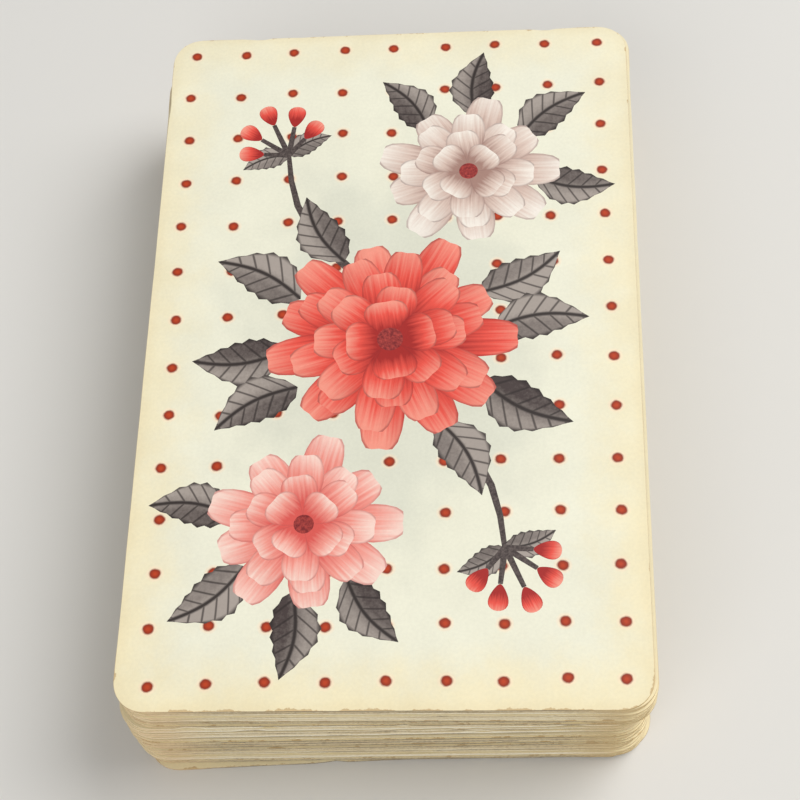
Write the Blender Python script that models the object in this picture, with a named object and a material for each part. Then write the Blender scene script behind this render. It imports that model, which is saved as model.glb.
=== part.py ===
"""A miniature pack of playing cards, squared up by hand and lying back up on a table.

Every card is its own die-cut sheet with rounded corners. The cards lie one on another with a film of
air between them, each a little off its neighbours, as a used pack does. All but the bottom card can
swivel about one upright axis near the front short edge, where a thumb pins the pack to open a fan.

Units are metres. +Z is up, the long side of the bottom card runs along Y, and the origin is on the
table under the middle of that card.
"""

import math
import random

import bmesh
import bpy

MM = 0.001

# One card
CARD_WIDTH = 44.5 * MM
CARD_LENGTH = 69.2 * MM
CARD_THICKNESS = 0.25 * MM
CORNER_RADIUS = 2.7 * MM
CORNER_STEPS = 6

# The stack
AIR_GAP = 0.015 * MM
JOKERS = 2
SHUFFLE_SEED = 8

# The thumb's pivot, measured in from the front short edge of a squared card
PIVOT_SETBACK = 14.0 * MM

# How the pack was squared. The bottom card was left behind, to the left of the lower packet and turned
# under it. The lower packet leans to the right and comes forward as it rises. The top packet was pushed
# further to the right and twisted clockwise. The top card sits back from its packet, to the left and away
# from the front, so the next ones show along its right side.
BOTTOM_CARD_LEFT = 0.35 * MM
BOTTOM_CARD_TWIST = math.radians(1.9)
LOWER_LEAN = 0.1 * MM
LOWER_FORWARD = 0.2 * MM
TOP_PACKET_CARDS = 14
TOP_PACKET_SHIFT = 0.95 * MM
TOP_PACKET_TWIST = math.radians(0.7)
TOP_CARD_LEFT = 0.22 * MM
TOP_CARD_BACK = 0.1 * MM
SCATTER = 0.16 * MM
SCATTER_TURN = math.radians(0.14)
SCATTER_SEED = 202

# Uncoated card, from the palest sheet of the pack to the most yellowed
PALE_STOCK = (0.85, 0.81, 0.64)
AGED_STOCK = (0.60, 0.50, 0.33)
STOCK_ROUGHNESS = 0.62

SUITS = ("clubs", "diamonds", "hearts", "spades")
RANKS = (
    "ace",
    "two",
    "three",
    "four",
    "five",
    "six",
    "seven",
    "eight",
    "nine",
    "ten",
    "jack",
    "queen",
    "king",
)


def clear_scene():
    for old in list(bpy.data.objects):
        bpy.data.objects.remove(old, do_unlink=True)


def shuffled_pack():
    """The names of all cards from the bottom of the pack to the top."""
    names = [f"{rank}_of_{suit}" for suit in SUITS for rank in RANKS]
    names += [f"joker_{number + 1}" for number in range(JOKERS)]
    random.Random(SHUFFLE_SEED).shuffle(names)
    return names


def card_blank():
    """The mesh of one card, centred on its underside: a rectangle, its corners rounded, given its thickness."""
    bm = bmesh.new()
    bmesh.ops.create_grid(bm, x_segments=1, y_segments=1, size=0.5)
    bmesh.ops.scale(bm, vec=(CARD_WIDTH, CARD_LENGTH, 1.0), verts=bm.verts)
    bmesh.ops.bevel(
        bm,
        geom=bm.verts[:],
        affect="VERTICES",
        offset=CORNER_RADIUS,
        segments=CORNER_STEPS,
        profile=0.5,
    )
    top = bmesh.ops.extrude_face_region(bm, geom=bm.faces[:])["geom"]
    top_corners = [part for part in top if isinstance(part, bmesh.types.BMVert)]
    bmesh.ops.translate(bm, vec=(0.0, 0.0, CARD_THICKNESS), verts=top_corners)
    bmesh.ops.recalc_face_normals(bm, faces=bm.faces)
    mesh = bpy.data.meshes.new("card_blank")
    bm.to_mesh(mesh)
    bm.free()
    return mesh


def card_stock(name, ageing):
    """The card's own paperboard, yellowed by ageing from 0 to 1."""
    material = bpy.data.materials.new(f"{name}_stock")
    material.use_nodes = True
    shader = material.node_tree.nodes["Principled BSDF"]
    colour = [pale + (aged - pale) * ageing for pale, aged in zip(PALE_STOCK, AGED_STOCK)]
    shader.inputs["Base Color"].default_value = (*colour, 1.0)
    shader.inputs["Roughness"].default_value = STOCK_ROUGHNESS
    shader.inputs["Metallic"].default_value = 0.0
    return material


def hand_squared(level, count, scatter):
    """Where the card at this level lies: its shift along X and Y, and its turn."""
    if level == 0:
        return 0.0, 0.0, 0.0
    top_level = count - 1
    lower_top = max(1, top_level - TOP_PACKET_CARDS)
    share = min(1.0, level / lower_top)
    x = BOTTOM_CARD_LEFT + LOWER_LEAN * share
    y = -LOWER_FORWARD * share
    turn = -BOTTOM_CARD_TWIST
    if level > lower_top:
        x += TOP_PACKET_SHIFT
        turn -= TOP_PACKET_TWIST
    if level == top_level:
        return x - TOP_CARD_LEFT, y + TOP_CARD_BACK, turn
    x += scatter.uniform(-SCATTER, SCATTER)
    y += scatter.uniform(-SCATTER, SCATTER)
    turn += scatter.uniform(-SCATTER_TURN, SCATTER_TURN)
    return x, y, turn


def add_fan_axis():
    """An empty on the upright axis that the cards swivel about."""
    axis = bpy.data.objects.new("fan_axis", None)
    axis.location = (0.0, PIVOT_SETBACK - CARD_LENGTH / 2, 0.0)
    bpy.context.collection.objects.link(axis)
    return axis


def add_card(name, level, place, blank, material, axis):
    card = bpy.data.objects.new(name, blank)
    bpy.context.collection.objects.link(card)
    card.material_slots[0].link = "OBJECT"
    card.material_slots[0].material = material
    x, y, turn = place
    card.parent = axis
    card.location = (
        x - axis.location.x,
        y - axis.location.y,
        level * (CARD_THICKNESS + AIR_GAP),
    )
    card.rotation_euler = (0.0, 0.0, turn)


def build():
    clear_scene()
    names = shuffled_pack()
    scatter = random.Random(SCATTER_SEED)
    blank = card_blank()
    blank.materials.append(None)
    axis = add_fan_axis()
    for level, name in enumerate(names):
        place = hand_squared(level, len(names), scatter)
        material = card_stock(name, scatter.random())
        add_card(name, level, place, blank, material, axis)


build()
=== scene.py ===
# %% [markdown]
# # A miniature pack of playing cards
# The real thing is a used pack of small playing cards, squared up by hand and lying back up. Each
# card is one sheet of paperboard with a printed back, a printed face and bare cut edges. The frame
# holds every card as a plain solid that already has the right size and place. Here each one is
# replaced by a sheet with print, worn edges and paper that looks like paper.

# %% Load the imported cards
import math
import random
from collections import namedtuple

import bmesh
import bpy
import numpy as np
from mathutils import Matrix, Vector
from mathutils.geometry import delaunay_2d_cdt


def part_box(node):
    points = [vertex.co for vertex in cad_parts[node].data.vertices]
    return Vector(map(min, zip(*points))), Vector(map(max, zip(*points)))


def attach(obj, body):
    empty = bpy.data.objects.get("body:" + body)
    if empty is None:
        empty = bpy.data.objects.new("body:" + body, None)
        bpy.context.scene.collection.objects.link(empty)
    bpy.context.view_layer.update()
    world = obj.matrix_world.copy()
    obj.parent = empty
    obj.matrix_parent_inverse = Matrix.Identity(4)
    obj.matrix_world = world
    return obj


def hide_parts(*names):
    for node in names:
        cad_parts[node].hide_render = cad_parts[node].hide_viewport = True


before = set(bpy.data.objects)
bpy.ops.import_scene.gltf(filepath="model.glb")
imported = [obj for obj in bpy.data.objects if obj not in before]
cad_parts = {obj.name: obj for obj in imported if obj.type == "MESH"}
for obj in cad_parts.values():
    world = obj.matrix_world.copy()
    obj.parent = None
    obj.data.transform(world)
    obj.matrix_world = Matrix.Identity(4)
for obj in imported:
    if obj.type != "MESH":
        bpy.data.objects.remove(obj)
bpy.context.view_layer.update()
MM = 0.001

# %% [markdown]
# ## Measuring the cards
# The size of a card is read from the bottom one, which lies square to the frame. The others are
# turned a little, so a bounding box alone would not do: its middle is the card's middle, and the
# turn comes from the way the largest wall of its edge faces.

# %% Size and place of each card
CARDS = sorted(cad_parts, key=lambda name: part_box(name)[0].z)
WIDTH, LENGTH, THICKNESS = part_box(CARDS[0])[1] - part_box(CARDS[0])[0]
TOP_CARD = CARDS[-1]


def card_place(name):
    """The matrix that takes a card from the origin to where the frame holds it."""
    low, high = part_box(name)
    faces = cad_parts[name].data.polygons
    walls = [face for face in faces if abs(face.normal.z) < 0.1]
    facing = max(walls, key=lambda wall: wall.area).normal
    turn = math.atan(facing.y / facing.x)
    middle = (low + high) / 2
    return Matrix.Translation((middle.x, middle.y, low.z)) @ Matrix.Rotation(turn, 4, "Z")


print(f"card {WIDTH / MM:.1f} x {LENGTH / MM:.1f} x {THICKNESS / MM:.2f} mm, top card {TOP_CARD}")

# %% [markdown]
# ## The camera
# The photograph looks down on the pack from in front, at about 62 degrees. The edges of the top
# card and the square grid of dots on it fix the lens, the distance and the small roll of the camera.
# All of these are measured from the middle of the top card, so the camera is placed with that card.

# %% Set up the camera
CAMERA_PLACE = Vector((13.85, -78.94, 139.83)) * MM
CAMERA_AIM = Vector((1.03, -6.20, 0.0)) * MM
CAMERA_ROLL = math.radians(-9.93)
LENS_MM = 80.6

lens = bpy.data.cameras.new("photo_camera")
lens.lens = LENS_MM
lens.sensor_width = 36.0
lens.clip_start = 1 * MM
camera = bpy.data.objects.new("photo_camera", lens)
bpy.context.scene.collection.objects.link(camera)
look = (CAMERA_AIM - CAMERA_PLACE).to_track_quat("-Z", "Y").to_matrix().to_4x4()
on_top = card_place(TOP_CARD) @ Matrix.Translation((0.0, 0.0, THICKNESS))
camera.matrix_world = (
    on_top @ Matrix.Translation(CAMERA_PLACE) @ look @ Matrix.Rotation(CAMERA_ROLL, 4, "Z")
)
bpy.context.scene.camera = camera
print("camera at", [round(side / MM, 1) for side in camera.location], "mm")

# %% [markdown]
# ## Nodes and colours
# Every finish below is a small node tree. One function adds a node, sets it and links it. Colours
# are written as the hex values that a screen shows, and one function turns them into the linear
# values that the shader works in.


# %% Helpers for materials
def linear(hex_code):
    """A colour as the shader wants it, from its sRGB hex code."""
    shares = [int(hex_code[i : i + 2], 16) / 255 for i in (0, 2, 4)]
    return (*[s / 12.92 if s <= 0.04045 else ((s + 0.055) / 1.055) ** 2.4 for s in shares], 1.0)


def add(tree, kind, inputs=None, **settings):
    """Adds a node with its settings; each input is a value or the socket that feeds it."""
    node = tree.nodes.new(kind)
    for name, value in settings.items():
        setattr(node, name, value)
    for name, value in (inputs or {}).items():
        if isinstance(value, bpy.types.NodeSocket):
            tree.links.new(value, node.inputs[name])
        else:
            node.inputs[name].default_value = value
    return node.outputs[0]


def start_material(name):
    """A new material with only its shader, and the tree to build in."""
    material = bpy.data.materials.new(name)
    material.use_nodes = True
    shader = material.node_tree.nodes["Principled BSDF"]
    shader.inputs["Metallic"].default_value = 0.0
    shader.inputs["IOR"].default_value = 1.42
    return material, material.node_tree, shader


print("helpers ready")

# %% [markdown]
# ## The paper's tooth
# Playing-card board is calendered paper with a thin varnish. Close up it is a little cloudy, with a
# fine tooth that the press leaves in the varnish. Both stock and ink have it, so one function gives
# it to every printed material. The UV map called card holds millimetres from the card's middle, so a
# scale of one over a size in millimetres gives that size.

# %% Varnished paper surface
TOOTH_MM = 0.3
CLOUD_MM = 5.0
TOOTH_DEPTH = 0.006 * MM
VARNISH = 0.46
INK_VARNISH = 0.42


def varnished(tree, shader, colour, roughness):
    """Gives the shader a printed colour with the paper's clouding, tooth and uneven gloss."""
    place = add(tree, "ShaderNodeUVMap", uv_map="card")
    tooth = add(
        tree,
        "ShaderNodeTexNoise",
        {"Vector": place, "Scale": 1 / TOOTH_MM, "Detail": 3.0, "Roughness": 0.6},
        noise_dimensions="2D",
    )
    cloud = add(
        tree,
        "ShaderNodeTexNoise",
        {"Vector": place, "Scale": 1 / CLOUD_MM, "Detail": 4.0, "Roughness": 0.55},
        noise_dimensions="2D",
    )
    both = add(tree, "ShaderNodeMath", {0: tooth, 1: cloud}, operation="ADD")
    shade = add(
        tree,
        "ShaderNodeMapRange",
        {"Value": both, "From Min": 0.6, "From Max": 1.4, "To Min": 0.93, "To Max": 1.02},
    )
    clouded = add(tree, "ShaderNodeVectorMath", {0: colour, 1: shade}, operation="MULTIPLY")
    tree.links.new(clouded, shader.inputs["Base Color"])
    uneven = {"To Min": roughness - 0.05, "To Max": roughness + 0.06}
    gloss = add(tree, "ShaderNodeMapRange", {"Value": cloud, "From Min": 0.3, "From Max": 0.7, **uneven})
    tree.links.new(gloss, shader.inputs["Roughness"])
    bump = add(tree, "ShaderNodeBump", {"Height": tooth, "Distance": TOOTH_DEPTH, "Strength": 0.6})
    tree.links.new(bump, shader.inputs["Normal"])


print(f"tooth {TOOTH_MM} mm, clouding {CLOUD_MM} mm")

# %% [markdown]
# ## Card stock
# The stock is off-white board that has yellowed from the edges in, where hands and air reach it, and
# most at the near end. At the very rim the varnish has flaked and the tan core shows, mostly along the
# short ends and worst on the top card. Both need to know how far a point is from the outline, and the
# distance to a rectangle with round corners gives that. The back also carries a pattern of small dots
# in red ink: a square grid, with a slight wander because the ink spread. A grid this regular is drawn
# in the material, which keeps the dots sharp.

# %% Distance from the card's outline
CORNER = 2.7 * MM


def edge_distance(tree, place):
    """Millimetres in from the outline of a card with rounded corners."""
    far = (WIDTH / 2 - CORNER) / MM, (LENGTH / 2 - CORNER) / MM, 0.0
    mirrored = add(tree, "ShaderNodeVectorMath", {0: place}, operation="ABSOLUTE")
    past = add(tree, "ShaderNodeVectorMath", {0: mirrored, 1: far}, operation="SUBTRACT")
    corner = add(tree, "ShaderNodeVectorMath", {0: past, 1: (0.0, 0.0, 0.0)}, operation="MAXIMUM")
    outside = add(tree, "ShaderNodeVectorMath", {0: corner}, operation="LENGTH").node.outputs["Value"]
    split = add(tree, "ShaderNodeSeparateXYZ", {0: past}).node.outputs
    nearer = add(tree, "ShaderNodeMath", {0: split["X"], 1: split["Y"]}, operation="MAXIMUM")
    inside = add(tree, "ShaderNodeMath", {0: nearer, 1: 0.0}, operation="MINIMUM")
    signed = add(tree, "ShaderNodeMath", {0: outside, 1: inside}, operation="ADD")
    return add(tree, "ShaderNodeMath", {0: CORNER / MM, 1: signed}, operation="SUBTRACT")


print(f"corner radius {CORNER / MM:.1f} mm")

# %% The yellowed stock
YELLOWING_MM = 7.0
YELLOW_SWAY_MM = 6.0
STAIN_MM = 4.0
GRIME_MM = 1.3
GRIME_SWAY_MM = 1.2
FLAKE_MM = 1.8
FLAKE_DEPTH_MM = 0.36
FLAKE_EDGE_MM = 0.07
FAR_END = 0.6
# Moves the noise with a card's tone, so that no two cards are stained or flaked alike.
OWN_PATCH = (832.0, 390.0, 0.0)


def stock_colour(tree, place, middle, yellowed, core):
    """Off-white in the middle, yellow towards the edges, grimy and flaked to the core at the rim."""
    inward = edge_distance(tree, place)
    tone = add(tree, "ShaderNodeAttribute", attribute_name="tone").node.outputs
    own = add(
        tree,
        "ShaderNodeVectorMath",
        {0: tone["Vector"], 1: OWN_PATCH, 2: place},
        operation="MULTIPLY_ADD",
    )
    stain, flakes = (
        add(
            tree,
            "ShaderNodeTexNoise",
            {"Vector": own, "Scale": 1 / size, "Detail": 5.0, "Roughness": 0.65},
            noise_dimensions="2D",
        )
        for size in (STAIN_MM, FLAKE_MM)
    )
    reach = add(tree, "ShaderNodeMath", {0: stain, 1: -YELLOW_SWAY_MM, 2: inward}, operation="MULTIPLY_ADD")
    fade = add(
        tree,
        "ShaderNodeMapRange",
        {"Value": reach, "From Min": -3.2, "From Max": YELLOWING_MM - 3.0, "To Min": 1.0, "To Max": 0.0},
        interpolation_type="SMOOTHSTEP",
    )
    # Yellowing and flaking fade in a straight ramp from the near end to the far end.
    endways = add(tree, "ShaderNodeSeparateXYZ", {0: place}).node.outputs["Y"]
    ends = {"From Min": -LENGTH / 2 / MM, "From Max": LENGTH / 2 / MM}
    near_end_share = add(tree, "ShaderNodeMapRange", {"Value": endways, **ends, "To Min": 1.0, "To Max": FAR_END})
    yellow = add(tree, "ShaderNodeMath", {0: fade, 1: near_end_share}, operation="MULTIPLY")
    aged = add(tree, "ShaderNodeMixRGB", {0: yellow, 1: linear(middle), 2: linear(yellowed)})
    rubbed = add(tree, "ShaderNodeMath", {0: stain, 1: -GRIME_SWAY_MM, 2: inward}, operation="MULTIPLY_ADD")
    grime = add(
        tree,
        "ShaderNodeMapRange",
        {"Value": rubbed, "From Min": -0.7, "From Max": GRIME_MM - 0.7, "To Min": 0.2, "To Max": 0.0},
        interpolation_type="SMOOTHSTEP",
    )
    grimy = add(tree, "ShaderNodeMixRGB", {0: grime, 1: aged, 2: linear("E3CC9A")})
    handled = add(tree, "ShaderNodeMath", {0: tone["Fac"], 1: 0.45, 2: flakes}, operation="MULTIPLY_ADD")
    share = add(tree, "ShaderNodeMath", {0: endways, 1: MM / LENGTH}, operation="MULTIPLY")
    endwise = add(tree, "ShaderNodeMath", {0: share, 1: share}, operation="MULTIPLY")
    tapped = add(tree, "ShaderNodeMath", {0: endwise, 1: near_end_share, 2: handled}, operation="MULTIPLY_ADD")
    depth = add(
        tree,
        "ShaderNodeMapRange",
        {"Value": tapped, "From Min": 1.16, "From Max": 1.48, "To Min": 0.0, "To Max": FLAKE_DEPTH_MM},
    )
    left = add(tree, "ShaderNodeMath", {0: inward, 1: depth}, operation="SUBTRACT")
    worn = add(
        tree,
        "ShaderNodeMapRange",
        {"Value": left, "From Min": 0.0, "From Max": FLAKE_EDGE_MM, "To Min": 0.85, "To Max": 0.0},
    )
    return add(tree, "ShaderNodeMixRGB", {0: worn, 1: grimy, 2: linear(core)})


print(f"yellowing reaches {YELLOWING_MM} mm in, flakes {FLAKE_DEPTH_MM} mm")

# %% Dots and soft shade on the back
# Each dot's raggedness and stretch are shares of its radius, and its wander and the grid's shift are
# shares of the pitch.
DOT_COLUMNS = 9
DOT_ROWS = 14
COLUMN_PITCH_MM = WIDTH / MM / DOT_COLUMNS
# The rows stand a little further apart than the columns.
ROW_SPREAD = 1.0085
ROW_PITCH_MM = ROW_SPREAD * LENGTH / MM / DOT_ROWS
DOT_MM = 0.47
DOT_SOFT_MM = 0.08
DOT_BLEED = 0.26
DOT_STRETCH = 1.06
DOT_WANDER = 0.07
HALO_MM = 0.32
GRID_TURN = math.radians(-0.52)
GRID_SHIFT = (0.004, -0.05, 0.0)


def dotted(tree, place, stock, ink, ink_rim):
    """Red dots printed over the stock, each with a darker rim and a pale halo where its oil spread."""
    turned = add(
        tree,
        "ShaderNodeMapping",
        {
            "Vector": place,
            "Location": GRID_SHIFT,
            "Rotation": (0.0, 0.0, GRID_TURN),
            "Scale": (1 / COLUMN_PITCH_MM, 1 / ROW_PITCH_MM, 0.0),
        },
    )
    half = 0.5 * (DOT_COLUMNS % 2), 0.5 * (DOT_ROWS % 2), 0.0
    cells = add(tree, "ShaderNodeVectorMath", {0: turned, 1: half}, operation="ADD")
    cell = add(tree, "ShaderNodeVectorMath", {0: cells}, operation="FLOOR")
    local = add(tree, "ShaderNodeVectorMath", {0: cells}, operation="FRACTION")
    chance = add(tree, "ShaderNodeTexWhiteNoise", {"Vector": cell}).node.outputs["Color"]
    wander = add(
        tree,
        "ShaderNodeVectorMath",
        {0: chance, 1: (DOT_WANDER,) * 3, 2: local},
        operation="MULTIPLY_ADD",
    )
    centre = (0.5 + DOT_WANDER / 2, 0.5 + DOT_WANDER / 2, DOT_WANDER / 2)
    offset = add(tree, "ShaderNodeVectorMath", {0: wander, 1: centre}, operation="SUBTRACT")
    size = COLUMN_PITCH_MM / DOT_STRETCH, ROW_PITCH_MM, 0.0
    flat = add(tree, "ShaderNodeVectorMath", {0: offset, 1: size}, operation="MULTIPLY")
    far = add(tree, "ShaderNodeVectorMath", {0: flat}, operation="LENGTH").node.outputs["Value"]
    bleed = add(
        tree,
        "ShaderNodeTexNoise",
        {"Vector": place, "Scale": 1 / DOT_MM, "Detail": 2.0},
        noise_dimensions="2D",
    )
    ragged = DOT_MM * DOT_BLEED
    spread = add(tree, "ShaderNodeMath", {0: bleed, 1: ragged, 2: far}, operation="MULTIPLY_ADD")
    radius = add(tree, "ShaderNodeMath", {0: spread, 1: ragged / 2}, operation="SUBTRACT")
    rim = add(tree, "ShaderNodeMapRange", {"Value": radius, "From Min": 0.1, "From Max": 0.4})
    inked = add(tree, "ShaderNodeMixRGB", {0: rim, 1: linear(ink), 2: linear(ink_rim)})
    ring = {"From Min": DOT_MM, "From Max": DOT_MM + HALO_MM}
    halo = add(tree, "ShaderNodeMapRange", {"Value": radius, **ring, "To Min": 0.8, "To Max": 0.0})
    pale = add(tree, "ShaderNodeMixRGB", {0: halo, 1: stock, 2: linear("FFE4C4")})
    soft_edge = {"From Min": DOT_MM - DOT_SOFT_MM, "From Max": DOT_MM + DOT_SOFT_MM}
    mask = add(tree, "ShaderNodeMapRange", {"Value": radius, **soft_edge, "To Min": 1.0, "To Max": 0.0})
    return add(tree, "ShaderNodeMixRGB", {0: mask, 1: pale, 2: inked})


print(f"{DOT_COLUMNS} x {DOT_ROWS} dots, {COLUMN_PITCH_MM:.2f} mm apart")

# %% Back stock and face stock
WASH_WIDE_MM = 15.0
WASH_TALL_MM = 23.0
WASH_PATCH_MM = 7.0
CORE = "CBAE7E"


def back_stock():
    """Coated board of the back: yellowed, with a soft grey wash behind the print, and dotted."""
    # Calendered board under thin varnish: a soft sheen, with uneven colour and no mirror gloss.
    material, tree, shader = start_material("coated_card_back")
    place = add(tree, "ShaderNodeUVMap", uv_map="card")
    stock = stock_colour(tree, place, "EFEDD7", "F4E8C1", CORE)
    spread = add(
        tree,
        "ShaderNodeTexNoise",
        {"Vector": place, "Scale": 1 / WASH_PATCH_MM, "Detail": 3.0},
        noise_dimensions="2D",
    )
    squeeze = (1 / WASH_WIDE_MM, 1 / WASH_TALL_MM, 0.0)
    oval = add(tree, "ShaderNodeVectorMath", {0: place, 1: squeeze}, operation="MULTIPLY")
    far = add(tree, "ShaderNodeVectorMath", {0: oval}, operation="LENGTH").node.outputs["Value"]
    edge = add(tree, "ShaderNodeMath", {0: spread, 1: 0.9, 2: far}, operation="MULTIPLY_ADD")
    wash = add(
        tree,
        "ShaderNodeMapRange",
        {"Value": edge, "From Min": 1.0, "From Max": 1.5, "To Min": 0.42, "To Max": 0.0},
        interpolation_type="SMOOTHSTEP",
    )
    washed = add(tree, "ShaderNodeMixRGB", {0: wash, 1: stock, 2: linear("C9CCBE")})
    varnished(tree, shader, dotted(tree, place, washed, "BF4019", "8E2C14"), VARNISH)
    return material


def face_stock():
    """The same board on the face, plain and a little whiter."""
    # As on the back, a soft sheen with uneven colour.
    material, tree, shader = start_material("coated_card_face")
    place = add(tree, "ShaderNodeUVMap", uv_map="card")
    varnished(tree, shader, stock_colour(tree, place, "F1EEE0", "F1E5C4", CORE), VARNISH)
    return material


print("stock for backs and faces ready")

# %% [markdown]
# ## Bare edges
# Where the die cut the board there is no varnish. The core is grey-tan and felted by handling, some
# cards are dirtier than others, and a stack of them reads as fine lines. Each face of a card carries
# a number called tone, which says how aged that card is, and the colour follows it. Streaks run along
# the edge, so the noise is long in the flat and short in height. Near the corners the edge is tinted
# yellow by thumbs. Painted light makes the left-hand corners lighter, and painted shade makes the
# right-hand ones deeper and darker.

# %% Cut edge of the board
STREAK_MM = 9.0
STREAK_TALL_MM = 0.4
# Paper fibres are about ten times finer than this. They are drawn this coarse so that they show.
FELT_MM = 0.25
FELT_DEPTH = 0.03 * MM
# Reach and strength of the corner tint: a thumb stain with painted light and shade in it.
CORNER_TINT_MM = 9.0
CORNER_TINT_FULL_MM = 1.5
CORNER_STAIN_AND_LIGHT = 0.7


def cut_edge():
    """Raw core of the board: matt, felted, streaked with dirt, and at the corners yellow from thumbs with
    painted light and shade.
    """
    # Torn fibres scatter the light, so the edge is matt, and dirt in them gives it dark and pale lines.
    material, tree, shader = start_material("raw_paperboard_edge")
    place = add(tree, "ShaderNodeTexCoord").node.outputs["Object"]
    tone = add(tree, "ShaderNodeAttribute", attribute_name="tone").node.outputs["Fac"]
    stretch = (1 / (STREAK_MM * MM), 1 / (STREAK_MM * MM), 1 / (STREAK_TALL_MM * MM))
    long_way = add(tree, "ShaderNodeVectorMath", {0: place, 1: stretch}, operation="MULTIPLY")
    streak = add(
        tree,
        "ShaderNodeTexNoise",
        {"Vector": long_way, "Scale": 1.0, "Detail": 5.0, "Roughness": 0.62},
    )
    felt = add(tree, "ShaderNodeTexNoise", {"Vector": place, "Scale": 1 / (FELT_MM * MM), "Detail": 3.0})
    rough = add(tree, "ShaderNodeMath", {0: felt, 1: 0.7, 2: streak}, operation="MULTIPLY_ADD")
    mixed = add(tree, "ShaderNodeMath", {0: tone, 1: 0.9, 2: rough}, operation="MULTIPLY_ADD")
    dirt = add(tree, "ShaderNodeMapRange", {"Value": mixed, "From Min": 0.9, "From Max": 1.7})
    core = add(tree, "ShaderNodeValToRGB", {"Fac": dirt})
    stops = core.node.color_ramp.elements
    stops[0].color = linear("F9F1DA")
    stops[1].color = linear("93836A")
    stops.new(0.5).color = linear("DCCCA9")
    spot = add(tree, "ShaderNodeUVMap", uv_map="card")
    mirrored = add(tree, "ShaderNodeVectorMath", {0: spot}, operation="ABSOLUTE")
    outwards = add(tree, "ShaderNodeSeparateXYZ", {0: mirrored}).node.outputs
    # Corner tint: yellow from thumbs, painted lighter at the left-hand corners, and painted darker as shade
    # at the right-hand ones.
    ends = []
    for axis, half in (("X", WIDTH / 2 / MM), ("Y", LENGTH / 2 / MM)):
        near = {"Value": outwards[axis], "From Min": half - CORNER_TINT_MM, "From Max": half - CORNER_TINT_FULL_MM}
        ends.append(add(tree, "ShaderNodeMapRange", near, interpolation_type="SMOOTHSTEP"))
    corner = add(tree, "ShaderNodeMath", {0: ends[0], 1: ends[1]}, operation="MULTIPLY")
    corner_stain_and_light = add(tree, "ShaderNodeMath", {0: corner, 1: CORNER_STAIN_AND_LIGHT}, operation="MULTIPLY")
    sideways = add(tree, "ShaderNodeSeparateXYZ", {0: spot}).node.outputs["X"]
    sides = {"From Min": -WIDTH / 2 / MM, "From Max": WIDTH / 2 / MM}
    rightness = add(tree, "ShaderNodeMapRange", {"Value": sideways, **sides})
    stain = add(tree, "ShaderNodeMixRGB", {0: rightness, 1: linear("EFCFA2"), 2: linear("D4B77E")})
    yellow = add(tree, "ShaderNodeMixRGB", {0: corner_stain_and_light, 1: core, 2: stain})
    tree.links.new(yellow, shader.inputs["Base Color"])
    bump = add(tree, "ShaderNodeBump", {"Height": felt, "Distance": FELT_DEPTH, "Strength": 0.7})
    tree.links.new(bump, shader.inputs["Normal"])
    shader.inputs["Roughness"].default_value = 0.9
    return material


print(f"edge streaks {STREAK_MM} mm long, felt {FELT_MM} mm")

# %% [markdown]
# ## Inks of the flower print
# The back is printed in soft flat inks, like a watercolour: petals run from a deep throat to a pale
# tip with fine streaks, and leaves have a rib, side veins and one lighter half. Every printed shape
# has a UV map called motif: the first number goes from its base to its tip, the second from its
# middle line to its side. The shading is drawn in those two numbers, so it follows each shape.

# %% Petal ink
PETAL_WAIST = 0.4


def motif_place(tree):
    """Sockets for the way along a printed shape, the way across it, and its own tone."""
    motif = add(tree, "ShaderNodeUVMap", uv_map="motif")
    split = add(tree, "ShaderNodeSeparateXYZ", {0: motif}).node.outputs
    tone = add(tree, "ShaderNodeAttribute", attribute_name="tone").node.outputs["Fac"]
    return split["X"], split["Y"], tone


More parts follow.
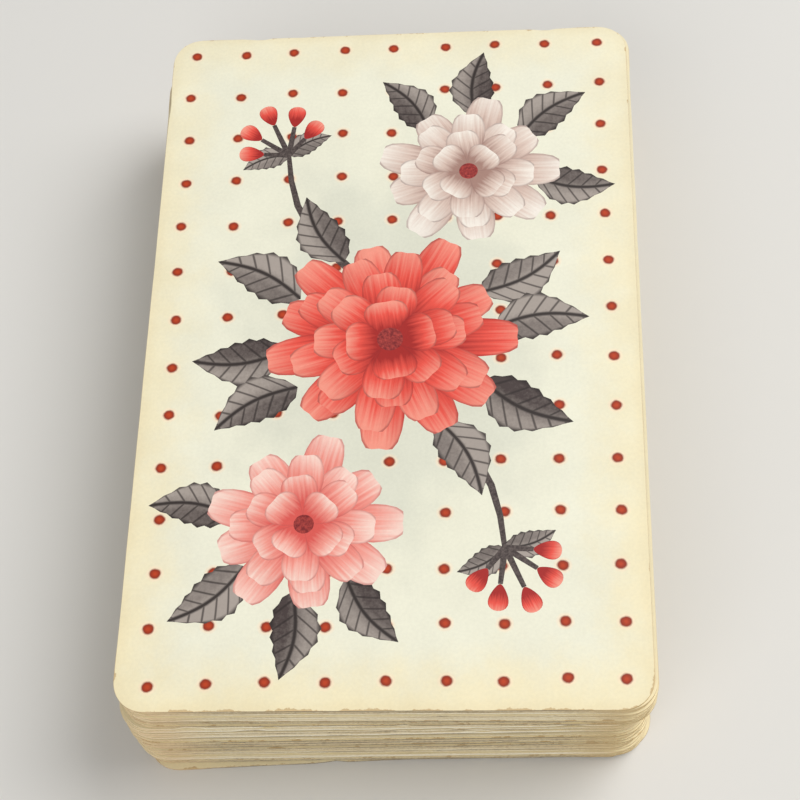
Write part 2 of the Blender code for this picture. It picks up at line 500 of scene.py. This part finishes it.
def petal_ink(name, throat, middle, tip, line):
    """Watercolour ink of a petal, with a thin darker line along its outline."""
    # Thin ink over pale board: the board shines through at the tips, and brush streaks stay visible.
    material, tree, shader = start_material(name)
    along, across, tone = motif_place(tree)
    wide = add(tree, "ShaderNodeMath", {0: across, 1: 7.0}, operation="MULTIPLY")
    shift = add(tree, "ShaderNodeMath", {0: tone, 1: 40.0, 2: along}, operation="MULTIPLY_ADD")
    fan = add(tree, "ShaderNodeCombineXYZ", {0: shift, 1: wide})
    streak = add(
        tree,
        "ShaderNodeTexNoise",
        {"Vector": fan, "Scale": 1.3, "Detail": 4.0},
        noise_dimensions="2D",
    )
    lift = add(tree, "ShaderNodeMath", {0: streak, 1: 0.45, 2: along}, operation="MULTIPLY_ADD")
    mood = add(tree, "ShaderNodeMath", {0: tone, 1: 0.2, 2: lift}, operation="MULTIPLY_ADD")
    level = add(tree, "ShaderNodeMapRange", {"Value": mood, "From Min": 0.65, "From Max": 1.32})
    washed = add(tree, "ShaderNodeValToRGB", {"Fac": level})
    stops = washed.node.color_ramp.elements
    stops[0].color = linear(throat)
    stops[1].color = linear(tip)
    stops.new(0.5).color = linear(middle)
    shade = add(
        tree,
        "ShaderNodeMapRange",
        {"Value": across, "From Min": 0.1, "From Max": 1.0, "To Min": 0.0, "To Max": 0.35},
    )
    sided = add(tree, "ShaderNodeMixRGB", {0: shade, 1: washed, 2: linear(throat)})
    rest = add(tree, "ShaderNodeMath", {0: 1.0, 1: along}, operation="SUBTRACT")
    oval = add(tree, "ShaderNodeMath", {0: along, 1: rest}, operation="MULTIPLY")
    bow = add(tree, "ShaderNodeMath", {0: oval, 1: 0.5}, operation="POWER")
    waist = add(
        tree,
        "ShaderNodeMath",
        {0: along, 1: 2 * (1 - PETAL_WAIST), 2: 2 * PETAL_WAIST},
        operation="MULTIPLY_ADD",
    )
    side = add(tree, "ShaderNodeMath", {0: bow, 1: waist}, operation="MULTIPLY")
    out = add(tree, "ShaderNodeMath", {0: across}, operation="ABSOLUTE")
    share = add(tree, "ShaderNodeMath", {0: out, 1: side}, operation="DIVIDE")
    edge = add(
        tree,
        "ShaderNodeMapRange",
        {"Value": share, "From Min": 0.86, "From Max": 1.0, "To Min": 0.0, "To Max": 0.55},
    )
    outlined = add(tree, "ShaderNodeMixRGB", {0: edge, 1: sided, 2: linear(line)})
    varnished(tree, shader, outlined, VARNISH)
    return material


print("petal ink ready")

# %% Leaf ink
LEAF_BOW = 0.35
LEAF_SKEW = 0.75
LEAF_VEINS = 6.0
LEAF_GRAIN_MM = 0.35


def leaf_ink(name, dark, pale, line):
    """Grey ink of a leaf: one half darker, with a rib and slanting veins."""
    # Grey ink laid on with a grainy plate: speckled and soft, with crisp lines over it.
    material, tree, shader = start_material(name)
    along, across, tone = motif_place(tree)
    turn = add(tree, "ShaderNodeMath", {0: along, 1: math.pi}, operation="MULTIPLY")
    wave = add(tree, "ShaderNodeMath", {0: turn}, operation="SINE")
    centred = add(tree, "ShaderNodeMath", {0: wave, 1: -LEAF_BOW, 2: across}, operation="MULTIPLY_ADD")
    out = add(tree, "ShaderNodeMath", {0: centred}, operation="ABSOLUTE")
    place = add(tree, "ShaderNodeUVMap", uv_map="card")
    grain = add(
        tree,
        "ShaderNodeTexNoise",
        {"Vector": place, "Scale": 1 / LEAF_GRAIN_MM, "Detail": 4.0, "Roughness": 0.7},
        noise_dimensions="2D",
    )
    half = add(tree, "ShaderNodeMapRange", {"Value": centred, "From Min": -0.35, "From Max": 0.45})
    tint = add(tree, "ShaderNodeMath", {0: tone, 1: 0.9, 2: half}, operation="MULTIPLY_ADD")
    base = add(tree, "ShaderNodeMath", {0: along, 1: 0.45, 2: tint}, operation="MULTIPLY_ADD")
    speck = add(tree, "ShaderNodeMath", {0: grain, 1: 0.7, 2: base}, operation="MULTIPLY_ADD")
    level = add(tree, "ShaderNodeMapRange", {"Value": speck, "From Min": 0.55, "From Max": 1.95})
    body = add(tree, "ShaderNodeMixRGB", {0: level, 1: linear(dark), 2: linear(pale)})
    slant = add(tree, "ShaderNodeMath", {0: out, 1: -0.22, 2: along}, operation="MULTIPLY_ADD")
    count = add(tree, "ShaderNodeMath", {0: slant, 1: LEAF_VEINS}, operation="MULTIPLY")
    saw = add(tree, "ShaderNodeMath", {0: count}, operation="FRACT")
    near = add(tree, "ShaderNodeMath", {0: saw, 1: 0.5}, operation="SUBTRACT")
    off = add(tree, "ShaderNodeMath", {0: near}, operation="ABSOLUTE")
    thin = {"From Min": 0.04, "From Max": 0.12, "To Max": 0.0}
    vein = add(tree, "ShaderNodeMapRange", {"Value": off, **thin, "To Min": 0.75})
    rib = add(tree, "ShaderNodeMapRange", {"Value": out, **thin, "To Min": 0.95})
    skewed = add(tree, "ShaderNodeMath", {0: along, 1: LEAF_SKEW}, operation="POWER")
    swell = add(tree, "ShaderNodeMath", {0: skewed, 1: math.pi}, operation="MULTIPLY")
    side = add(tree, "ShaderNodeMath", {0: swell}, operation="SINE")
    share = add(tree, "ShaderNodeMath", {0: out, 1: side}, operation="DIVIDE")
    edge = add(
        tree,
        "ShaderNodeMapRange",
        {"Value": share, "From Min": 0.82, "From Max": 0.97, "To Min": 0.0, "To Max": 0.85},
    )
    drawn = add(tree, "ShaderNodeMath", {0: vein, 1: rib}, operation="MAXIMUM")
    lines = add(tree, "ShaderNodeMath", {0: drawn, 1: edge}, operation="MAXIMUM")
    veined = add(tree, "ShaderNodeMixRGB", {0: lines, 1: body, 2: linear(line)})
    varnished(tree, shader, veined, VARNISH)
    return material


print(f"leaves with {LEAF_VEINS:.0f} veins a side")

# %% Line inks and solid inks
INK_GRAIN_MM = 0.3


def line_ink(name, dark, pale):
    """Solid ink with the slight mottle of a flat press."""
    # A full film of ink: dense and even, a touch glossier than the board.
    material, tree, shader = start_material(name)
    place = add(tree, "ShaderNodeUVMap", uv_map="card")
    mottle = add(
        tree,
        "ShaderNodeTexNoise",
        {"Vector": place, "Scale": 1 / INK_GRAIN_MM, "Detail": 4.0, "Roughness": 0.7},
        noise_dimensions="2D",
    )
    level = add(tree, "ShaderNodeMapRange", {"Value": mottle, "From Min": 0.35, "From Max": 0.7})
    solid = add(tree, "ShaderNodeMixRGB", {0: level, 1: linear(dark), 2: linear(pale)})
    varnished(tree, shader, solid, INK_VARNISH)
    return material


FINISHES = {
    "back": back_stock(),
    "face": face_stock(),
    "edge": cut_edge(),
    "coral": petal_ink("coral_petal_ink", "A82420", "EC5345", "F79A86", "8E2222"),
    "pink": petal_ink("pink_petal_ink", "DE5A52", "F39A8C", "FAD8CA", "B8524E"),
    "blush": petal_ink("blush_petal_ink", "A98478", "DEC6B8", "F7EEE2", "8A6862"),
    "leaf": leaf_ink("grey_leaf_ink", "463A38", "AA9F96", "2A211F"),
    "stem": line_ink("dark_stem_ink", "3E3432", "665A56"),
    "stamen": line_ink("deep_red_stamen_ink", "7A2226", "B8463E"),
    "red": line_ink("red_pip_ink", "B4262A", "CB3C38"),
    "black": line_ink("black_pip_ink", "1C1B1E", "333136"),
}
SLOTS = {name: number for number, name in enumerate(FINISHES)}
print(", ".join(material.name for material in FINISHES.values()))

# %% [markdown]
# ## The blank card
# A card is die-cut from board: a rectangle with round corners, an even thickness, and edges that
# handling has rounded. It starts as a plane, gets its corners from a vertex bevel, its thickness from
# an extrusion and its soft edges from an edge bevel. The sides are subdivided, because wear needs
# points to move. An inset leaves a rim round each side of the card, and the window inside it is
# left open for the printed sheet.

# %% Cut the blank
CORNER_STEPS = 9
EDGE_STEP = 1.0 * MM
RIM = 0.45 * MM
EDGE_ROUND = 0.035 * MM
# A face lies flat if its normal points up or down by at least this share.
FLAT = 0.9


def pick(kind, wanted):
    """Selects, in edit mode, only the edges or faces that pass a test."""
    bpy.ops.mesh.select_mode(type="EDGE" if kind == "edges" else "FACE")
    bpy.ops.mesh.select_all(action="DESELECT")
    mesh = bpy.context.edit_object.data
    parts = bmesh.from_edit_mesh(mesh)
    for part in getattr(parts, kind):
        part.select_set(wanted(part))
    parts.select_flush_mode()
    bmesh.update_edit_mesh(mesh)


def is_rim(edge):
    """True for the sharp level edges where the card's two sides meet its cut edge."""
    level = abs(edge.verts[0].co.z - edge.verts[1].co.z) < 1e-6
    return level and edge.calc_face_angle(0.0) > 1.0


bpy.ops.object.select_all(action="DESELECT")
bpy.ops.mesh.primitive_plane_add(size=1.0)
blank = bpy.context.active_object
blank.name = "card_blank"
bpy.ops.object.mode_set(mode="EDIT")
bpy.ops.transform.resize(value=(WIDTH, LENGTH, 1.0))
bpy.ops.mesh.bevel(offset=CORNER, segments=CORNER_STEPS, affect="VERTICES", profile=0.5)
bpy.ops.mesh.delete(type="ONLY_FACE")
for side in (WIDTH - 2 * CORNER, LENGTH - 2 * CORNER):
    pick("edges", lambda edge: abs(edge.calc_length() - side) < EDGE_STEP)
    bpy.ops.mesh.subdivide(number_cuts=round(side / EDGE_STEP) - 1)
bpy.ops.mesh.select_all(action="SELECT")
bpy.ops.mesh.edge_face_add()
bpy.ops.mesh.extrude_region_move(TRANSFORM_OT_translate={"value": (0.0, 0.0, THICKNESS)})
bpy.ops.mesh.select_all(action="SELECT")
bpy.ops.mesh.normals_make_consistent(inside=False)
pick("faces", lambda face: abs(face.normal.z) > FLAT)
bpy.ops.mesh.inset(thickness=RIM, use_individual=True)
pick("edges", is_rim)
bpy.ops.mesh.bevel(offset=EDGE_ROUND, segments=2, affect="EDGES")
bpy.ops.object.mode_set(mode="OBJECT")
windows = [face for face in blank.data.polygons if len(face.vertices) > 4 * CORNER_STEPS]
print(f"{len(blank.data.vertices)} points, {len(windows)} windows for print")

# %% Open the windows and give the blank its finishes
WINDOW = [tuple(blank.data.vertices[v].co.xy / MM) for v in windows[0].vertices]
bpy.ops.object.mode_set(mode="EDIT")
pick("faces", lambda face: len(face.verts) > 4 * CORNER_STEPS)
bpy.ops.mesh.delete(type="ONLY_FACE")
bpy.ops.object.mode_set(mode="OBJECT")
for material in FINISHES.values():
    blank.data.materials.append(material)
for face in blank.data.polygons:
    side = "back" if face.normal.z > 0 else "face"
    face.material_index = SLOTS[side if abs(face.normal.z) > FLAT else "edge"]
blank.data.attributes.new("tone", "FLOAT", "FACE")
for layer in list(blank.data.uv_layers):
    blank.data.uv_layers.remove(layer)
for layer in ("card", "motif"):
    blank.data.uv_layers.new(name=layer)
print(f"window outline of {len(WINDOW)} points")

# %% [markdown]
# ## Printing a sheet
# Print is flat, so its shapes are outlines in the plane of the card. They could be cut into the face
# with a knife or laid on it as decals, but decals would hover or fight with the paper. Instead one
# planar triangulation takes the window's outline and all the shapes, in painter's order, and gives a
# single flat sheet whose triangles each know the topmost shape over them.

# %% Turn shapes into a printed sheet
Shape = namedtuple("Shape", "outline finish base reach half_width")
MERGE_MM = 1e-4


def area_sign(outline):
    """Above zero for an outline that runs anticlockwise, which the triangulation takes as filled."""
    x, y = np.array(outline).T
    return np.sign(np.dot(x, np.roll(y, -1)) - np.dot(y, np.roll(x, -1)))


def printed_sheet(name, window, shapes, ground, height, side):
    """A flat mesh that fills the window; side is 1 for the back, and -1 for the face, seen from below."""
    outlines = [window] + [shape.outline for shape in shapes]
    points = []
    rings = []
    for outline in outlines:
        ring = list(range(len(points), len(points) + len(outline)))
        points.extend(Vector(point) for point in outline)
        rings.append(ring if area_sign(outline) > 0 else ring[::-1])
    corners, _, triangles, _, _, owners = delaunay_2d_cdt(points, [], rings, 1, MERGE_MM)
    mesh = bpy.data.meshes.new(name)
    mesh.from_pydata([(side * p.x * MM, p.y * MM, height) for p in corners], [], triangles)
    for material in FINISHES.values():
        mesh.materials.append(material)
    chance = random.Random(len(shapes))
    tones = [chance.random() for _ in shapes]
    tone = mesh.attributes.new("tone", "FLOAT", "FACE")
    mesh.uv_layers.new(name="card")
    motif = mesh.uv_layers.new(name="motif")
    for face, owner in zip(mesh.polygons, owners):
        top = max(owner) - 1
        if top < 0:
            face.material_index = SLOTS[ground]
            continue
        shape = shapes[top]
        face.material_index = SLOTS[shape.finish]
        tone.data[face.index].value = tones[top]
        across = Vector((-shape.reach.y, shape.reach.x)).normalized() / shape.half_width
        for loop in face.loop_indices:
            local = corners[mesh.loops[loop].vertex_index] - shape.base
            along = local.dot(shape.reach) / shape.reach.length_squared
            motif.data[loop].uv = (along, local.dot(across))
    sheet = bpy.data.objects.new(name, mesh)
    bpy.context.scene.collection.objects.link(sheet)
    return sheet


def placed(local, base, reach, half_width):
    """Points given as shares along and across a shape, laid on the card."""
    across = Vector((-reach.y, reach.x)).normalized() * half_width
    return [tuple(base + reach * along + across * out) for along, out in local]


print("sheet printer ready")

# %% [markdown]
# ## The print on the back
# The back carries a plain floral ornament: one large many-petalled blossom in the middle, two smaller
# ones across a diagonal, leaves round each and a sprig of berries at either side. It could be painted
# as an image, but outlines stay sharp at any distance. The layout turns into itself by half a turn, as
# the backs of playing cards usually do.

# %% Petals, blossoms, leaves and stems
PETAL_STEPS = 26
LEAF_STEPS = 13


def direction(degrees):
    """A unit step across the card, anticlockwise from its right."""
    return Vector((math.cos(math.radians(degrees)), math.sin(math.radians(degrees))))


def petal(finish, base, reach, half_width, ruffle):
    """An egg-shaped petal with a slightly wavy tip."""
    local = []
    for step in range(PETAL_STEPS):
        turn = 2 * math.pi * step / PETAL_STEPS
        along = 0.5 - 0.5 * math.cos(turn)
        out = math.sin(turn) * (PETAL_WAIST + (1 - PETAL_WAIST) * along)
        wave = 1 + ruffle * along * math.cos(5 * turn)
        local.append((along * wave, out))
    return Shape(placed(local, base, reach, half_width), finish, base, reach, half_width)


def blossom(centre, radius, finish, counts):
    """Rings of petals, the outer ring first, round a small dark centre."""
    shapes = []
    for ring, count in enumerate(counts):
        share = 1 - ring * 0.78 / len(counts)
        for number in range(count):
            out = direction(360 * number / count + 47 * ring + 6 * math.sin(5 * number + ring))
            reach = out * radius * share * (0.93 + 0.07 * math.cos(3 * number + 2 * ring))
            half_width = 1.25 * math.pi * radius * share / count * 0.62
            shapes.append(petal(finish, centre + reach * 0.08, reach * 0.92, half_width, 0.035))
    turns = [2 * math.pi * step / PETAL_STEPS for step in range(PETAL_STEPS)]
    heart = [(0.5 + 0.5 * math.cos(turn), math.sin(turn)) for turn in turns]
    size = radius * 0.1
    base = centre - Vector((size, 0.0))
    reach = Vector((2 * size, 0.0))
    shapes.append(Shape(placed(heart, base, reach, size), "stamen", base, reach, size))
    return shapes


def leaf(base, degrees, length, bend):
    """A pointed leaf with small teeth, bowed to one side."""
    reach = direction(degrees) * length
    half_width = bend * length * 0.27
    upper = []
    lower = []
    for step in range(LEAF_STEPS + 1):
        along = step / LEAF_STEPS
        width = math.sin(math.pi * along**LEAF_SKEW) * (1.06 if step % 2 else 0.92)
        bow = LEAF_BOW * math.sin(math.pi * along)
        upper.append((along, bow + width))
        lower.append((along, bow - width))
    local = upper + lower[-2:0:-1]
    return Shape(placed(local, base, reach, half_width), "leaf", base, reach, half_width)


def stem(points, width):
    """A tapering line through the points."""
    path = [Vector(point) for point in points]
    left = []
    right = []
    for number, point in enumerate(path):
        ahead = path[min(number + 1, len(path) - 1)] - path[max(number - 1, 0)]
        out = Vector((-ahead.y, ahead.x)).normalized() * width * (0.5 - 0.3 * number / len(path))
        left.append(tuple(point + out))
        right.append(tuple(point - out))
    return Shape(left + right[::-1], "stem", path[0], path[-1] - path[0], width)


print("motifs ready")

# %% Lay out the back
# Places and lengths of the print are millimetres from the middle of the card.
MIDDLE_RADIUS_MM = 11.8
SIDE_RADIUS_MM = 8.8
SIDE_PLACE = Vector((7.0, 18.0))
SPRIG_PLACE = Vector((-10.2, 20.4))
SPRIG_TURN = 114
SPRIG_SWAY = Vector((-1.6, -0.5))


def half_layout(turn, finish):
    """Leaves, sprig and side blossom of the upper half; turn is -1 for the lower half."""
    middle = Vector((0.0, 0.0))
    side = SIDE_PLACE * turn
    fork = SPRIG_PLACE * turn
    flip = 0 if turn > 0 else 180
    shapes = []
    path = []
    for step in range(6):
        sway = SPRIG_SWAY * turn * math.sin(0.63 * step)
        path.append(fork * (0.35 + 0.13 * step) + sway)
    shapes.append(stem(path, 0.9))
    for degrees, length, bend in ((118, 8.2, 1), (152, 9.0, -1), (186, 8.6, 1), (30, 8.4, -1)):
        shapes.append(leaf(middle + direction(degrees + flip) * 9.4, degrees + flip, length, bend))
    for degrees, length, bend in ((128, 7.4, -1), (84, 7.8, 1), (38, 8.0, 1), (-8, 7.6, -1)):
        shapes.append(leaf(side + direction(degrees + flip) * 6.2, degrees + flip, length, bend))
    for degrees, length, bend in ((28, 4.6, 1), (200, 4.6, -1)):
        shapes.append(leaf(fork, degrees + flip, length, bend))
    for lean, reach in ((-62, 2.4), (62, 2.4), (-31, 3.3), (31, 3.3), (0, 3.9)):
        out = direction(SPRIG_TURN + lean + flip)
        shapes.append(stem([fork, fork + out * reach], 0.6))
        shapes.append(petal("coral", fork + out * reach, out * 2.4, 1.15, 0.0))
    shapes += blossom(side, SIDE_RADIUS_MM, finish, (9, 8, 6, 4))
    return shapes


back_shapes = half_layout(1, "blush") + half_layout(-1, "pink")
back_shapes += blossom(Vector((0.0, 0.0)), MIDDLE_RADIUS_MM, "coral", (11, 10, 8, 6, 4))
back_sheet = printed_sheet("back_print", WINDOW, back_shapes, "back", THICKNESS, 1)
print(f"{len(back_shapes)} shapes, {len(back_sheet.data.polygons)} triangles on the back")

# %% [markdown]
# ## The print on the faces
# The faces are hidden in the photograph, and are the standard ones: pips of the suit in their usual
# rows, a rank and a small pip in two corners, and a frame on court cards. Court cards get a plain
# crown and pips at either end instead of a portrait, and the jokers a star. The ranks are text turned
# into a mesh, whose faces go to the same triangulation as the pips.

# %% Pips
PIP_STEPS = 40


def pip_outlines(suit):
    """Outlines of a suit's pip, one unit from middle to top."""
    turns = [2 * math.pi * step / PIP_STEPS for step in range(PIP_STEPS)]
    if suit == "diamonds":
        upper = [(0.74, 0.0), (0.35, 0.44), (0.0, 1.0), (-0.35, 0.44)]
        return [upper + [(-x, -y) for x, y in upper]]
    heart = []
    for turn in turns:
        lobes = 13 * math.cos(turn) - 5 * math.cos(2 * turn)
        height = lobes - 2 * math.cos(3 * turn) - math.cos(4 * turn)
        heart.append((math.sin(turn) ** 3 * 0.94, (height + 2.5) / 15))
    if suit == "hearts":
        return [heart]
    foot = [(-0.06, -0.1), (-0.12, -0.55), (-0.42, -1.0), (0.42, -1.0), (0.12, -0.55), (0.06, -0.1)]
    if suit == "spades":
        return [[(x * 0.92, 0.12 - y * 0.86) for x, y in heart], foot]
    leaves = []
    for x, y in ((0.0, 0.52), (-0.46, -0.2), (0.46, -0.2), (0.0, 0.0)):
        size = 0.43 if (x, y) != (0.0, 0.0) else 0.22
        leaves.append([(x + size * math.cos(turn), y + size * math.sin(turn)) for turn in turns])
    return [*leaves, foot]


def stamp(outlines, finish, place, size, turned=1):
    """Shapes from outlines, scaled and set down; turned is -1 for upside down."""
    shapes = []
    for outline in outlines:
        points = [(place[0] + turned * size * x, place[1] + turned * size * y) for x, y in outline]
        shapes.append(Shape(points, finish, Vector(place), Vector((size, 0.0)), size))
    return shapes


print({suit: len(pip_outlines(suit)) for suit in ("clubs", "diamonds", "hearts", "spades")})

# %% Ranks as outlines
RANKS = "ace two three four five six seven eight nine ten jack queen king".split()
LABELS = dict(zip(RANKS, "A 2 3 4 5 6 7 8 9 10 J Q K".split()))


def letter_outlines(label):
    """Faces of a rank's letters, one unit high, centred on the origin."""
    bpy.ops.object.select_all(action="DESELECT")
    bpy.ops.object.text_add()
    text = bpy.context.active_object
    text.data.body = label
    text.data.resolution_u = 4
    text.data.align_x = "CENTER"
    text.data.align_y = "CENTER"
    bpy.ops.object.convert(target="MESH")
    mesh = bpy.context.active_object.data
    outlines = [[tuple(mesh.vertices[v].co.xy) for v in face.vertices] for face in mesh.polygons]
    bpy.data.objects.remove(bpy.context.active_object)
    return outlines


LETTERS = {rank: letter_outlines(label) for rank, label in LABELS.items()}
print({LABELS[rank]: len(LETTERS[rank]) for rank in RANKS})

# %% Lay out a face
COLUMN_MM = 8.6
ROW_MM = 22.0
PIP_MM = 4.1
ACE_PIP = 2.2
STAR_MM = 11.0
CORNER_STAR_MM = 2.2
CROWN_MM = 7.2
CROWN_UP_MM = 7.0
FRAME_MM = (COLUMN_MM * 1.65, ROW_MM * 1.27)
FRAME_LINE_MM = 0.35
INDEX_MM = 6.0
INDEX_PIP_MM = 1.7
INDEX_DROP_MM = 5.2
INDEX_PLACE_MM = (-18.2, 29.2)


def pip_spots(count):
    """Where the pips of a number card stand, as shares of the column and row distances."""
    side_rows = {4: 2, 5: 2, 6: 3, 7: 3, 8: 3, 9: 4, 10: 4}.get(count, 0)
    middle_rows = {1: [0], 2: [1, -1], 3: [1, 0, -1], 5: [0], 7: [0.5], 8: [0.5, -0.5], 9: [0]}
    middle_rows[10] = [2 / 3, -2 / 3]
    rows = [1 - 2 * row / (side_rows - 1) for row in range(side_rows)]
    sides = [(column, row) for column in (-1, 1) for row in rows]
    return sides + [(0, row) for row in middle_rows.get(count, [])]


def crown(points):
    """A plain crown with as many points as asked for."""
    outline = [(-1.0, -0.6), (1.0, -0.6)]
    for number in range(points):
        right = 1.15 - 2.3 * number / (points - 1)
        outline.append((right, 0.75))
        if number < points - 1:
            outline.append((right - 1.15 / (points - 1), 0.0))
    return [outline]


def star():
    """A five-pointed star."""
    outline = []
    for step in range(10):
        turn = math.pi / 2 + math.pi * step / 5
        size = 0.42 if step % 2 else 1.0
        outline.append((size * math.cos(turn), size * math.sin(turn)))
    return [outline]


def framed(finish, half_width, half_height, line):
    """A thin frame: an inked rectangle with a rectangle of bare stock on it."""
    shapes = []
    for size, colour in ((0.0, finish), (line, "face")):
        x = half_width - size
        y = half_height - size
        shapes += stamp([[(-x, -y), (x, -y), (x, y), (-x, y)]], colour, (0.0, 0.0), 1.0)
    return shapes


def face_shapes(name):
    """All the print on one card's face."""
    if name.startswith("joker"):
        finish = "red" if name.endswith("1") else "black"
        shapes = stamp(star(), finish, (0.0, 0.0), STAR_MM)
        for turned in (1, -1):
            corner = [turned * side for side in INDEX_PLACE_MM]
            shapes += stamp(star(), finish, corner, CORNER_STAR_MM, turned)
        return shapes
    rank, suit = name.split("_of_")
    finish = "red" if suit in ("diamonds", "hearts") else "black"
    pip = pip_outlines(suit)
    count = RANKS.index(rank) + 1
    shapes = []
    if count > 10:
        shapes += framed(finish, *FRAME_MM, FRAME_LINE_MM)
        for turned in (1, -1):
            shapes += stamp(crown(count - 8), finish, (0.0, turned * CROWN_UP_MM), CROWN_MM, turned)
            shapes += stamp(pip, finish, (-turned * COLUMN_MM, turned * ROW_MM * 0.9), PIP_MM, turned)
    for column, row in pip_spots(count):
        size = PIP_MM * (ACE_PIP if count == 1 else 1.0)
        shapes += stamp(pip, finish, (column * COLUMN_MM, row * ROW_MM), size, 1 if row >= 0 else -1)
    for turned in (1, -1):
        x, y = (turned * side for side in INDEX_PLACE_MM)
        shapes += stamp(LETTERS[rank], finish, (x, y), INDEX_MM, turned)
        shapes += stamp(pip, finish, (x, y - INDEX_DROP_MM * turned), INDEX_PIP_MM, turned)
    return shapes


print({name: len(face_shapes(name)) for name in CARDS[:4]})

# %% [markdown]
# ## Wear
# A handled card loses a little of its outline: it is rubbed thin here and there, dented at the
# corners, and nicked. Wear only takes board away, so no card grows past its solid and none can touch
# the card above or below. The rim's points move inwards along the outline, by a few slow waves with
# chance phases and a few sharp nicks.

# %% Wear the rim
RUB = 0.05 * MM
NICK_DEPTH = 0.16 * MM
NICKS = 7


def wear_rim(mesh, chance):
    """Moves the points outside the printed window inwards, unevenly round the card."""
    count = len(mesh.vertices)
    points = np.empty(count * 3, dtype=np.float32)
    mesh.vertices.foreach_get("co", points)
    points = points.reshape(-1, 3)
    half = np.array([WIDTH / 2, LENGTH / 2])
    core = half - CORNER
    past = np.abs(points[:, :2]) - core
    corner = np.maximum(past, 0.0)
    inward = CORNER - np.hypot(*corner.T) - np.minimum(past.max(axis=1), 0.0)
    round_card = np.arctan2(points[:, 1] / half[1], points[:, 0] / half[0])
    rub = np.zeros(count)
    for waves in (3, 7, 13, 29):
        rub += RUB * (1 + np.sin(waves * round_card + chance.uniform(0, 6.28))) / 8
    for _ in range(NICKS):
        where = chance.uniform(-math.pi, math.pi)
        gap = np.angle(np.exp(1j * (round_card - where)))
        depth = chance.uniform(0.2, 1.0) * NICK_DEPTH
        rub += depth * np.exp(-((gap / chance.uniform(0.008, 0.03)) ** 2))
    rub *= np.clip((RIM * 0.8 - inward) / (RIM * 0.8), 0.0, 1.0)
    centre = points[:, :2].clip(-core, core)
    straight = np.where(np.abs(past[:, :1]) < np.abs(past[:, 1:]), [[1.0, 0.0]], [[0.0, 1.0]])
    at_corner = (corner > 0).all(axis=1, keepdims=True)
    away = np.where(at_corner, points[:, :2] - centre, straight * points[:, :2])
    away /= np.maximum(np.linalg.norm(away, axis=1, keepdims=True), 1e-9)
    points[:, :2] -= away * rub[:, None]
    mesh.vertices.foreach_set("co", points.ravel())
    return rub.max() / MM


print(f"{NICKS} nicks a card, up to {NICK_DEPTH / MM} mm deep")

# %% [markdown]
# ## Making the pack
# The blank and the back print are joined once, and every card starts as a copy of that. Its own face
# is printed and joined to it, the seams between rim and print are merged so that the card is one
# closed sheet, and the rim is worn. Last the mesh is moved to where the frame holds the card, and the
# card rides on the body of that name.

# %% Join blank and back
SEAM = 1e-7


def join_print(card, sheet):
    """Joins a printed sheet into a card's window and closes the seam."""
    bpy.ops.object.select_all(action="DESELECT")
    card.select_set(True)
    sheet.select_set(True)
    bpy.context.view_layer.objects.active = card
    bpy.ops.object.join()
    bpy.ops.object.mode_set(mode="EDIT")
    bpy.ops.mesh.select_all(action="SELECT")
    bpy.ops.mesh.remove_doubles(threshold=SEAM)
    bpy.ops.object.mode_set(mode="OBJECT")


join_print(blank, back_sheet)
blank.data.shade_flat()
print(f"blank with back: {len(blank.data.vertices)} points")


# %% Print, wear and place every card
def make_card(level, name):
    """One finished card, in its place in the pack."""
    chance = random.Random(100 + level)
    card = bpy.data.objects.new(f"{name}_card", blank.data.copy())
    bpy.context.scene.collection.objects.link(card)
    join_print(card, printed_sheet(f"{name}_face", WINDOW, face_shapes(name), "face", 0.0, -1))
    mesh = card.data
    wear = wear_rim(mesh, chance)
    ageing = 1.0 if name == TOP_CARD else chance.random()
    plain = {SLOTS["back"], SLOTS["face"], SLOTS["edge"]}
    for face in mesh.polygons:
        if face.material_index in plain:
            mesh.attributes["tone"].data[face.index].value = ageing
    spot = mesh.uv_layers["card"]
    for loop in mesh.loops:
        spot.data[loop.index].uv = mesh.vertices[loop.vertex_index].co.xy / MM
    mesh.transform(card_place(name))
    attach(card, name)
    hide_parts(name)
    return wear


deepest = max(make_card(level, name) for level, name in enumerate(CARDS))
bpy.data.objects.remove(blank)
print(f"{len(CARDS)} cards printed, deepest wear {deepest:.2f} mm")

# %% [markdown]
# ## Floor and light
# The pack lies on a plain pale floor in soft studio light: one large lamp from above on the right and
# a little behind, one weaker from the front left, and an even pale surround. The level is set so that
# the card stock shows about the colour that it was given.

# %% Floor, lamps and surround
FLOOR_SIZE = 3.0


def soft_lamp(name, place, size, power):
    """A square soft box that faces the pack."""
    light = bpy.data.lights.new(name, "AREA")
    light.size = size
    light.energy = power
    lamp = bpy.data.objects.new(name, light)
    bpy.context.scene.collection.objects.link(lamp)
    lamp.location = place
    lamp.rotation_euler = (-Vector(place)).to_track_quat("-Z", "Y").to_euler()


bpy.ops.object.select_all(action="DESELECT")
bpy.ops.mesh.primitive_plane_add(size=FLOOR_SIZE)
floor = bpy.context.active_object
floor.name = "pale_floor"
# Matt painted board: an even pale ground that takes a soft shadow and mirrors nothing.
material, _, shader = start_material("matt_pale_board")
shader.inputs["Base Color"].default_value = linear("DDDBD6")
shader.inputs["Roughness"].default_value = 0.8
floor.data.materials.append(material)
soft_lamp("key_light", place=(0.4, 0.16, 0.56), size=0.5, power=3.9)
soft_lamp("fill_light", place=(-0.22, -0.55, 0.42), size=0.6, power=1.9)
world = bpy.data.worlds.new("pale_surround")
world.use_nodes = True
world.node_tree.nodes["Background"].inputs["Color"].default_value = linear("F2F2F2")
world.node_tree.nodes["Background"].inputs["Strength"].default_value = 0.36
bpy.context.scene.world = world
bpy.context.scene.view_settings.view_transform = "Standard"
print("floor, two lamps and surround")
